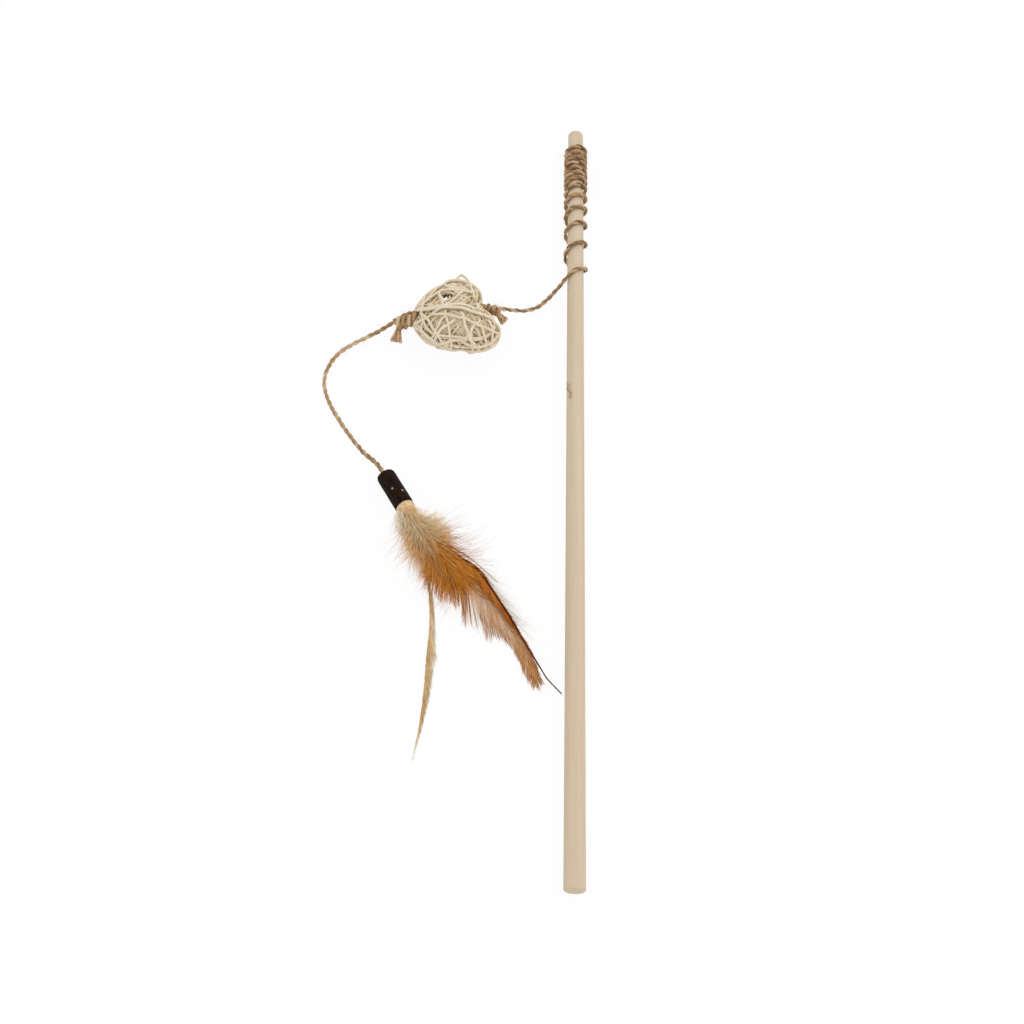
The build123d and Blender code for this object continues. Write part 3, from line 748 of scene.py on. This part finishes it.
# cap: a dark creased sleeve with the quills' pale collar in its mouth
cap = {"top": np.array([-82.6, 175.4, -1.16]), "foot": np.array([-73.0, 159.8, -1.16]), "around": 72,
    "ripple": 0.1, "rippleFrom": 3.7, "profile": ((2.6, 3.02), (0.5, 3.05), (0.1, 3.3), (0.0, 3.6),
        (0.25, 3.92), (0.8, 4.12), (1.8, 4.2), (5, 4.2), (8, 4.18), (11, 4.22), (14, 4.2), (16.6, 4.22),
        (17.8, 4.2), (18.2, 4.05), (18.3, 3.75), (18.1, 3.4), (17.4, 3.2), (12, 3.05)),
    "specks": (((-78.3, 165.9, 2.6), 0.66), ((-73.9, 165.4, 2.6), 0.7), ((-76.6, 170.6, 2.9), 0.4))}
capWay = unit(cap["foot"] - cap["top"])
capSide, capUpper = crossAxes(capWay)


def lathe(name, profile, around, ripple, material):
    # a ring of the profile round the cap's axis, rippled where it is wide
    verts, faces = [], []
    rows = len(profile)
    for j, (along, radius) in enumerate(profile):
        wave = slowNoise(around, 26, 7) * ripple + slowNoise(around, 9, 8 + j) * ripple * 0.25
        wave = wave * np.minimum(np.sin(np.linspace(0, math.pi, around)) * 4, 1)
        for i in range(around):
            turn = 2 * math.pi * i / around
            out = radius + (wave[i] if radius > cap["rippleFrom"] else 0)
            p = cap["top"] + capWay * along + out * turned(turn, capSide, capUpper)
            verts.append(tuple(p * mm))
            a, b = j * around + i, j * around + (i + 1) % around
            c, d = ((j + 1) % rows) * around + (i + 1) % around, ((j + 1) % rows) * around + i
            faces.append((a, d, c, b))
    mesh = bpy.data.meshes.new(name)
    mesh.from_pydata(verts, [], faces)
    mesh.polygons.foreach_set("use_smooth", [True] * len(faces))
    mesh.materials.append(material)
    return addObject(name, mesh)


def capMaterial():
    mat, tree, shader = startMaterial("capBark", 0.6, 0.06)
    coords = addNode(tree, "ShaderNodeTexCoord")
    mapped = addNode(tree, "ShaderNodeMapping", {"Rotation": (0, 0, math.atan2(capWay[0], capWay[1]))})
    wire(tree, (coords, "Object", mapped, "Vector"))
    crease = grainNode(tree, mapped.outputs["Vector"], (900, 130, 900), tone(13, 6, 3), tone(46, 27, 17),
        (0.36, 0.74))
    colour = crease.outputs["Color"]
    for spot, size in cap["specks"]:
        far = addNode(tree, "ShaderNodeVectorMath", {1: [c * mm for c in spot]}, operation="DISTANCE")
        edge = addNode(tree, "ShaderNodeMapRange", {"From Min": size * mm, "From Max": size * 0.5 * mm})
        mix = addNode(tree, "ShaderNodeMix", {"B": tone(176, 138, 110)}, data_type="RGBA")
        wire(tree, (coords, "Object", far, 0), (far, "Value", edge, "Value"),
            (edge, "Result", mix, "Factor"))
        tree.links.new(colour, mix.inputs["A"])
        colour = mix.outputs["Result"]
    tree.links.new(colour, shader.inputs["Base Color"])
    addBump(tree, shader, crease.outputs["Height"], 0.9, 0.0006)
    return mat


capSleeve = lathe("capSleeve", cap["profile"], cap["around"], cap["ripple"], capMaterial())
quills = {"count": 34, "start": 11.0, "short": 10.5, "long": 13.5, "spread": 2.35, "flare": 0.5, "sides": 6,
    "around": 48, "ripple": 0.12, "roll": ((15.0, 2.9), (17.6, 3.1), (18.6, 3.65), (19.4, 4.0),
        (20.6, 4.05), (21.8, 3.7), (23.0, 3.0), (23.8, 1.8), (24.0, 0.4), (16.0, 0.4))}
quillTone = strandMaterial("quills", [(0.0, (150, 104, 58)), (0.5, (206, 170, 120)),
        (1.0, (236, 218, 186))], 0.5, 0.0, (2.0, 300.0, 9.0), 0.8, (0.4, 0.0003))
bundle = []
t = np.linspace(0, 1, 6)
for _ in range(quills["count"]):
    turn, out = dice.uniform(0, 2 * math.pi), math.sqrt(dice.uniform(0, 1))
    across = turned(turn, capSide, capUpper) * out
    reach = dice.uniform(quills["short"], quills["long"])
    points = (cap["top"] + capWay * quills["start"] + np.outer(t * reach, capWay)
        + np.outer(quills["spread"] + quills["flare"] * t**2, across))
    bundle.append((points, dice.uniform(0.4, 0.6) * (1 - 0.5 * t**3), dice.uniform(0.3, 1.0), False))
rollTone = grainMaterial("quillRoll", 0.75, (900, 900, 900), tone(196, 152, 98), tone(238, 214, 174),
    (0.3, 0.66), (0.9, 0.0008))
quillBundle = joinPieces("quillBundle", [sweepPiece("quillBundle", bundle, quills["sides"], quillTone),
        lathe("roll", quills["roll"], quills["around"], quills["ripple"], rollTone)])
tucked = {"from": 0.2, "to": 6.8, "step": 0.4, "sides": 7, "seed": 71}
tuckedLine = evenLine(np.array([cap["top"] + capWay * tucked[end] for end in ("from", "to")]),
    tucked["step"])
tuckedTwine = sweepPiece("tuckedTwine", layPlies(tuckedLine, tucked["seed"]), tucked["sides"], jute)
print("cap")

# feathers: a quill line with barbs on both sides
featherTone = {
    "tan": [(0.0, (162, 92, 30)), (0.28, (222, 148, 60)), (0.46, (198, 144, 92)), (0.66, (214, 172, 132)),
        (1.0, (242, 220, 202))],
    "rust": [(0.0, (84, 36, 14)), (0.5, (172, 88, 28)), (1.0, (212, 134, 58))],
    "straw": [(0.0, (132, 98, 52)), (0.5, (222, 186, 130)), (1.0, (250, 242, 226))],
    "down": [(0.0, (255, 252, 246)), (0.3, (255, 234, 190)), (0.6, (238, 168, 72)), (0.85, (226, 136, 24)),
        (1.0, (140, 72, 16))],
}
barbMaterials = {name: strandMaterial(name + "Barbs", ramp, 0.7, 0.0, (1.0, 420.0, 20.0), 0.86, None, 0.05)
    for name, ramp in featherTone.items()}
barbs = {"sides": 3, "step": 0.5, "calmFrom": 0.72, "calmOver": 0.16, "calmBy": 0.85, "fanFrom": 0.9,
    "fanOver": 0.08}


def along(line, share):
    at = np.clip(share, 0, 1) * (len(line) - 1)
    low = np.minimum(at.astype(int), len(line) - 2)
    part = (at - low)[:, None]
    return line[low] * (1 - part) + line[low + 1] * part


def featherPiece(name, feather):
    line = splineLine(name, feather["quill"], barbs["step"])
    t = np.linspace(0, 1, len(line))
    quillShade = feather["quillShade"] + 0.1 * slowNoise(len(line), 5, 3)
    strands = [(line + upward * feather["ridge"], feather["thick"] * (1 - 0.5 * t), quillShade, False)]
    for way in feather.get("stray", ()):
        stray = splineLine("stray", way, 0.8)
        strands.append((stray, np.linspace(0.26, 0.1, len(stray)), 0.02, False))
    tangents, sides, _ = lineFrames(line)
    rng = np.random.default_rng(feather["seed"])
    u = np.linspace(0, 1, 8)
    for sign, shape in ((1, feather["right"]), (-1, feather["left"])):
        count = shape["count"]
        marks = np.clip(np.linspace(shape["from"], 1.0, count) + rng.normal(0, 0.002, count), 0, 1)
        clump = slowNoise(count, shape["clumps"], feather["seed"] + sign + 3)
        tuft = slowNoise(count, shape["clumps"] * 2.6, feather["seed"] + sign + 13)
        roots, ways, across = along(line, marks), along(tangents, marks), sign * along(sides, marks)
        calm = 1 - barbs["calmBy"] * ease(marks, barbs["calmFrom"], barbs["calmOver"])
        uneven = calm * shape["ragged"] * (0.6 * clump + 0.4 * tuft) + rng.normal(0, 0.05, count)
        reach = np.interp(marks, *shape["reach"]) * (1 + uneven)
        lean = np.interp(marks, *shape["lean"]) + calm * shape["part"] * clump + rng.normal(0, 1.6, count)
        # the last barbs fan out and fill the tip
        fan = ease(marks, barbs["fanFrom"], barbs["fanOver"]) * rng.uniform(0, 1, count)
        lean = np.radians(lean) * (1 - fan)
        tint = np.interp(marks, *shape["shade"])
        for i in range(count):
            way = unit(ways[i])
            out = turned(lean[i], way, unit(across[i]))
            rise = feather["arch"] * np.sin(math.pi * u) * 0.5 - feather["droop"] * u**2
            points = (roots[i] + np.outer(u * reach[i], out)
                + np.outer(shape["bend"] * reach[i] * u**2, way)
                + np.outer(rise + rng.normal(0, 0.12), upward))
            keepAbove(points, 0.12 + 0.25 * rng.uniform())
            shade = np.clip(tint[i] + shape["edge"] * u + 0.1 * tuft[i] + rng.normal(0, 0.05), 0, 1)
            strands.append((points, shape["width"] * (1.0 - 0.8 * u**2), shade, False))
    return sweepPiece(name, strands, barbs["sides"], barbMaterials[feather["tone"]])


feathers = {
    "tanFeather": {
        "tone": "tan", "seed": 5, "thick": 0.42, "quillShade": 0.12,
        "ridge": 0.0, "arch": 0.8, "droop": 1.4,
        "quill": [(-79.0, 169.6, -1.0), (-73.0, 159.8, -0.9), (-66.5, 148.2, 0.4), (-58.0, 136.8, 0.9),
            (-49.4, 127.2, 0.6), (-38.6, 116.4, -0.6), (-27.2, 104.6, -1.6), (-20.2, 93.6, -2.4),
            (-15.9, 83.8, -2.9)],
        "right": {
            "from": 0.28, "count": 640, "bend": 0.04, "width": 0.17,
            "clumps": 16, "ragged": 0.16, "part": 2.0, "edge": -0.06,
            "reach": ([0.28, 0.45, 0.7, 0.9, 1.0], [9, 14, 11, 8, 6.0]),
            "lean": ([0.28, 0.6, 0.75, 0.85, 0.92, 1.0], [30, 24, 15, 14, 17, 26]),
            "shade": ([0.28, 0.5, 0.8, 0.9, 1.0], [0.25, 0.6, 0.64, 0.52, 0.5]),
        },
        "left": {
            "from": 0.32, "count": 600, "bend": 0.05, "width": 0.17,
            "clumps": 13, "ragged": 0.34, "part": 7.0, "edge": -0.18,
            "reach": ([0.32, 0.45, 0.6, 0.68, 0.8, 0.93, 1.0], [14, 17.5, 16.5, 13, 11.5, 10, 6.5]),
            "lean": ([0.32, 0.5, 0.62, 0.7, 0.85, 1.0], [46, 41, 34, 25, 21, 24]),
            "shade": ([0.32, 0.45, 0.6, 0.8, 0.9, 1.0], [0.26, 0.42, 0.85, 0.7, 0.54, 0.5]),
        },
    },
    "rustFeather": {
        "tone": "rust", "seed": 9, "thick": 0.5, "quillShade": 0.02,
        "ridge": 0.35, "arch": 0.2, "droop": 0.3,
        "stray": [[(-58.5, 141.2, 4.6), (-49.7, 135.4, 4.8), (-41.2, 130.6, 3.8), (-31.4, 121.5, 2.0)],
            [(-56.0, 138.6, 4.8), (-47.8, 132.4, 4.4), (-39.5, 127.6, 3.4), (-33.0, 119.8, 2.0)]],
        "quill": [(-78.6, 169.4, 0.0), (-73.2, 159.8, 0.0), (-65.8, 150.2, 0.8), (-57.8, 141.6, 1.5),
            (-48.1, 133.3, 1.7), (-41.0, 129.1, 1.6), (-34.7, 120.1, 1.3), (-28.0, 109.7, 0.7),
            (-23.0, 101.3, 0.1), (-18.8, 94.4, -0.4), (-12.7, 84.3, -1.0), (-10.8, 80.9, -1.4),
            (-5.3, 75.6, -2.2)],
        "right": {
            "from": 0.36, "count": 260, "bend": 0.03, "width": 0.15,
            "clumps": 9, "ragged": 0.2, "part": 2.0, "edge": -0.2,
            "reach": ([0.36, 0.5, 0.7, 0.85, 1.0], [2.4, 4.0, 3.4, 1.6, 0.6]),
            "lean": ([0.36, 1.0], [14, 6]),
            "shade": ([0.36, 0.55, 0.75, 1.0], [0.8, 0.5, 0.3, 0.1]),
        },
        "left": {
            "from": 0.36, "count": 320, "bend": 0.03, "width": 0.15,
            "clumps": 9, "ragged": 0.2, "part": 2.5, "edge": -0.1,
            "reach": ([0.36, 0.48, 0.6, 0.7, 0.85, 1.0], [7.0, 11.0, 7.0, 4.4, 1.8, 0.6]),
            "lean": ([0.36, 0.5, 0.62, 0.75, 1.0], [24, 24, 15, 10, 6]),
            "shade": ([0.36, 0.55, 0.7, 0.85, 1.0], [1.0, 0.92, 0.6, 0.32, 0.1]),
        },
    },
    "strawFeather": {
        "tone": "straw", "seed": 14, "thick": 0.42, "quillShade": 0.4,
        "ridge": 0.0, "arch": 0.2, "droop": 0.25,
        "quill": [(-79.4, 169.8, -2.2), (-73.2, 159.2, -2.4), (-66.4, 144.0, -2.4), (-62.6, 133.0, -2.5),
            (-60.1, 122.6, -2.6), (-58.6, 111.3, -2.8), (-58.0, 102.9, -3.0), (-58.2, 92.9, -3.2),
            (-58.4, 83.8, -3.4), (-58.5, 73.0, -3.6), (-59.2, 61.5, -3.8), (-60.2, 54.0, -4.0),
            (-60.7, 50.2, -4.0)],
        "right": {
            "from": 0.4, "count": 360, "bend": 0.03, "width": 0.15,
            "clumps": 10, "ragged": 0.25, "part": 2.0, "edge": 0.2,
            "reach": ([0.4, 0.48, 0.6, 0.75, 0.9, 1.0], [2.4, 6.2, 9.6, 8.2, 4.0, 3.0]),
            "lean": ([0.42, 0.9, 1.0], [19, 14, 4]),
            "shade": ([0.42, 0.7, 0.88, 0.96, 1.0], [0.54, 0.5, 0.4, 0.65, 1.0]),
        },
        "left": {
            "from": 0.42, "count": 220, "bend": 0.02, "width": 0.14,
            "clumps": 7, "ragged": 0.2, "part": 1.5, "edge": 0.16,
            "reach": ([0.42, 0.6, 0.9, 1.0], [1.5, 4.0, 2.4, 3.0]),
            "lean": ([0.42, 1.0], [9, 3]),
            "shade": ([0.42, 0.88, 0.96, 1.0], [0.5, 0.36, 0.65, 1.0]),
        },
    },
}
featherPieces = {name: featherPiece(name, feather) for name, feather in feathers.items()}
print("feathers", len(featherPieces))

# down: loose soft barbs round the quills
downRoute = [(-74.5, 162.3, -1.0), (-69.5, 153.6, 0.2), (-63.0, 144.0, 1.0), (-54.0, 132.0, 1.2),
    (-42.0, 119.0, 0.2), (-31.0, 105.0, -1.0), (-22.0, 90.0, -2.0)]
downLine = splineLine("downLine", downRoute, barbs["step"])
underRust = 0.7
rustLine = splineLine("rustLine", feathers["rustFeather"]["quill"], barbs["step"]) - upward * underRust


def downTuft(tuft, seed):
    # turn 0 is the dowel's side, 90 is upwards, 180 the far side from it
    base = rustLine if tuft.get("onRust") else downLine
    length = lineLength(base)
    ways, sides, _ = lineFrames(base)
    rng = np.random.default_rng(seed)
    near, far = tuft["span"]
    u = np.linspace(0, 1, 9)
    strands = []
    for _ in range(tuft["count"]):
        spot = rng.uniform(near, far)
        i = int(max(spot, 0) / length * (len(base) - 1))
        turn = math.radians(rng.uniform(*tuft["turn"]))
        lean = math.radians(rng.uniform(*tuft["lean"]))
        out = turned(lean, ways[i], unit(turned(turn, sides[i], upward)))
        reach = rng.uniform(*tuft["reach"])
        curl = unit(np.cross(out, upward) * rng.normal() + upward * rng.normal(0, 0.5))
        points = (base[i] + rng.normal(0, 0.35, 3) + np.outer(u * reach, out)
            + np.outer(tuft["bend"] * reach * u**2, ways[i])
            + np.outer(rng.normal(0, tuft["curl"]) * reach * u**2, curl)
            + np.outer(0.25 * np.sin(u * rng.uniform(4, 9) + rng.uniform(0, 6)), curl))
        keepAbove(points, 0.1 + 0.4 * rng.uniform())
        # tufts nearer the cap are paler where rise is set
        rise = tuft.get("rise", 0) * ((spot - near) / (far - near) - 0.5)
        shade = np.clip(rng.uniform(*tuft["shade"]) + rise + tuft["fade"] * u, 0, 1)
        strands.append((points, tuft["width"] * rng.uniform(0.7, 1.2) * (1 - 0.75 * u), shade, False))
    return strands


# a tuft's row may stop before its last two parts
tuftParts = ("count", "span", "turn", "lean", "reach", "bend", "curl", "width", "shade", "fade", "rise",
    "onRust")
downs = {
    "tanDown": {"seed": 300, "tufts": (
        (1300, (19, 44), (-20, 200), (6, 42), (9, 16), 0.12, 0.12, 0.14, (0.56, 0.86), -0.14, 0.22),
        (420, (19, 36), (40, 140), (4, 22), (10, 20), 0.05, 0.06, 0.14, (0.66, 0.88), -0.1),
        (760, (13, 28), (-20, 60), (40, 94), (6, 13), 0.1, 0.22, 0.11, (0.14, 0.38), 0.06, 0.2),
        (170, (16, 40), (-20, 40), (30, 72), (13, 22), 0.08, 0.32, 0.06, (0.7, 1.0), 0.1),
        (800, (14, 38), (150, 210), (24, 60), (10, 18), 0.08, 0.14, 0.12, (0.32, 0.56), 0.06, 0.4))},
    "whiteDown": {"seed": 400, "tufts": (
        (900, (-1, 9), (155, 240), (10, 40), (9, 17), 0.0, 0.12, 0.15, (0.0, 0.22), 0.04),
        (760, (5, 24), (120, 225), (14, 48), (9, 16), 0.0, 0.16, 0.13, (0.1, 0.4), 0.06),
        (1000, (-1, 20), (-40, 150), (4, 28), (8, 16), 0.12, 0.12, 0.14, (0.16, 0.36), 0.14),
        (700, (12, 46), (150, 215), (26, 66), (11, 20), 0.06, 0.2, 0.085, (0.3, 0.7), 0.25),
        (190, (52, 82), (-30, 0), (12, 36), (8, 15), 0.1, 0.04, 0.06, (0.0, 0.1), 0.0, 0, True))},
}
downPieces = {}
for name, down in downs.items():
    strands = []
    for i, row in enumerate(down["tufts"]):
        strands += downTuft(dict(zip(tuftParts, row)), down["seed"] + i)
    downPieces[name] = sweepPiece(name, strands, barbs["sides"], barbMaterials["down"])
print("down", [len(o.data.polygons) for o in downPieces.values()])


# CAD nodes that stay: dowel and glue
def woodMaterial():
    mat, tree, shader = startMaterial("dowelWood", 0.58)
    place = addNode(tree, "ShaderNodeTexCoord").outputs["Object"]
    broad = grainNode(tree, place, (420, 7, 420), tone(199, 180, 154), tone(207, 189, 165), (0.34, 0.66))
    fine = grainNode(tree, place, (2600, 60, 2600), (0.84, 0.8, 0.74, 1), white, (0.3, 0.52))
    mixed = multiply(tree, broad.outputs["Color"], fine.outputs["Color"], 0.35)
    tree.links.new(mixed, shader.inputs["Base Color"])
    addBump(tree, shader, fine.outputs["Height"], 0.25, 0.0002)
    return mat


glueTone = grainMaterial("setGlue", 0.35, (500, 500, 500), tone(150, 120, 74), tone(196, 166, 112),
    (0.3, 0.7), (0.6, 0.0006))
for node, material in (("dowel", woodMaterial()), ("glue_plug", glueTone)):
    data = frame["nodes"][node].data
    data.materials.clear()
    data.materials.append(material)

# the dowel's splinter: each row has a route, a radius and a shade
splinter = {"step": 0.4, "sides": 6}
splinters = [
    ([(-4.0, 227.2, 1.6), (-3.6, 224.8, 2.6), (-3.9, 222.4, 2.8), (-2.6, 219.6, 3.6), (-2.2, 216.6, 3.9)],
        0.2, 0.6),
    ([(-2.6, 225.6, 3.4), (-3.4, 223.2, 3.2), (-2.5, 221.2, 3.7), (-2.9, 217.4, 3.5)], 0.18, 0.85),
    ([(-4.3, 223.6, 1.4), (-3.2, 221.8, 3.1), (-1.9, 219.4, 3.9)], 0.16, 0.5),
]
splinterStrands = []
for way, thick, shade in splinters:
    splinterStrands.append((splineLine("splinter", way, splinter["step"]), thick, shade, False))
dowelSplinter = sweepPiece("dowelSplinter", splinterStrands, splinter["sides"], jute)


# each piece moves with its body and stands for its CAD nodes
def settle(piece, body, slot, *nodes):
    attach(piece, body)
    if nodes:
        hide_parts(*nodes)


for piece in (upperTwine, upperFuzz):
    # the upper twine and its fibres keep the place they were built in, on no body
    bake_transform(piece)
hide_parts("tip_winding", "upper_twine")
settle(dowelSplinter, "wand", "dowel_wood")
settle(lowerTwine, "lower_cord", "jute", "lower_twine")
settle(lowerFuzz, "lower_cord", "jute")
settle(knotPieces["cleftKnot"], "heart", "jute", "cleft_knot")
settle(knotPieces["pointKnot"], "heart", "jute", "point_knot")
settle(heartVines, "heart", "rattan", "rim_vines", "left_slant_vines", "right_slant_vines", "cross_vines",
    "long_vines")
settle(capSleeve, "feather_lure", "cap_leather", "cap_sleeve")
settle(quillBundle, "feather_lure", "tan_vane")
settle(tuckedTwine, "feather_lure", "jute", "tucked_end")
settle(featherPieces["tanFeather"], "feather_lure", "tan_vane", "tan_feather")
settle(featherPieces["rustFeather"], "feather_lure", "rust_vane", "rust_feather")
settle(featherPieces["strawFeather"], "feather_lure", "straw_vane", "straw_feather")
settle(downPieces["tanDown"], "feather_lure", "tan_vane", "tan_down")
settle(downPieces["whiteDown"], "feather_lure", "white_fluff", "white_down")

# floor, light and camera
stage = {"size": 6.0, "height": -0.0042, "grey": (0.9, 0.9, 0.9, 1), "white": 0.94, "world": 0.98,
    "sun": 0.5, "sunSoft": 60.0, "sunTurn": (-18, 38, 0)}


def blendInto(tree, output, share, first, second):
    # shows the first shader, and the second by its share
    last, mix = addNode(tree, output), addNode(tree, "ShaderNodeMixShader")
    tree.links.new(share, mix.inputs["Fac"])
    wire(tree, (first, 0, mix, 1), (second, 0, mix, 2), (mix, 0, last, "Surface"))


def floorMaterial():
    # nearly plain white where it is seen, and matt grey for the light that it gives back
    mat = bpy.data.materials.new("paleFloor")
    mat.use_nodes = True
    tree = mat.node_tree
    tree.nodes.clear()
    path = addNode(tree, "ShaderNodeLightPath")
    seen, seenToo = (addNode(tree, "ShaderNodeMath", operation="MAXIMUM") for _ in range(2))
    share = addNode(tree, "ShaderNodeMath", {1: stage["white"]}, operation="MULTIPLY")
    wire(tree, (path, "Is Camera Ray", seen, 0), (path, "Is Glossy Ray", seen, 1), (seen, 0, seenToo, 0),
        (path, "Is Transmission Ray", seenToo, 1), (seenToo, 0, share, 0))
    blendInto(tree, "ShaderNodeOutputMaterial", share.outputs[0],
        addNode(tree, "ShaderNodeBsdfDiffuse", {"Color": stage["grey"]}),
        addNode(tree, "ShaderNodeEmission"))
    return mat


half = stage["size"] / 2
corners = ((-half, -half), (half, -half), (half, half), (-half, half))
plane = bpy.data.meshes.new("floor")
plane.from_pydata([(x, y, stage["height"] - table["slope"] * y) for x, y in corners], [], [(0, 1, 2, 3)])
plane.materials.append(floorMaterial())
floor = addObject("floor", plane)

scene.world = bpy.data.worlds.new("softBox")
scene.world.use_nodes = True
tree = scene.world.node_tree
tree.nodes.clear()
blendInto(tree, "ShaderNodeOutputWorld", addNode(tree, "ShaderNodeLightPath").outputs["Is Camera Ray"],
    addNode(tree, "ShaderNodeBackground", {"Color": white, "Strength": stage["world"]}),
    addNode(tree, "ShaderNodeBackground", {"Color": white}))

sunData = bpy.data.lights.new("softSun", "SUN")
sunData.energy = stage["sun"]
sunData.angle = math.radians(stage["sunSoft"])
addObject("softSun", sunData).rotation_euler = [math.radians(turn) for turn in stage["sunTurn"]]

view = {"place": (-18.7, -104.8, 407.1), "down": 57.22, "turn": 1.78, "sensor": 36.0, "lens": 40.04,
    "near": 0.01}
camData = bpy.data.cameras.new("photoCamera")
camData.sensor_width = view["sensor"]
camData.lens = view["lens"]
camData.clip_start = view["near"]
camera = addObject("photoCamera", camData)
camera.location = [c * mm for c in view["place"]]
camera.rotation_euler = (math.radians(90 - view["down"]), 0, math.radians(view["turn"]))
scene.camera = camera
print("stage set")
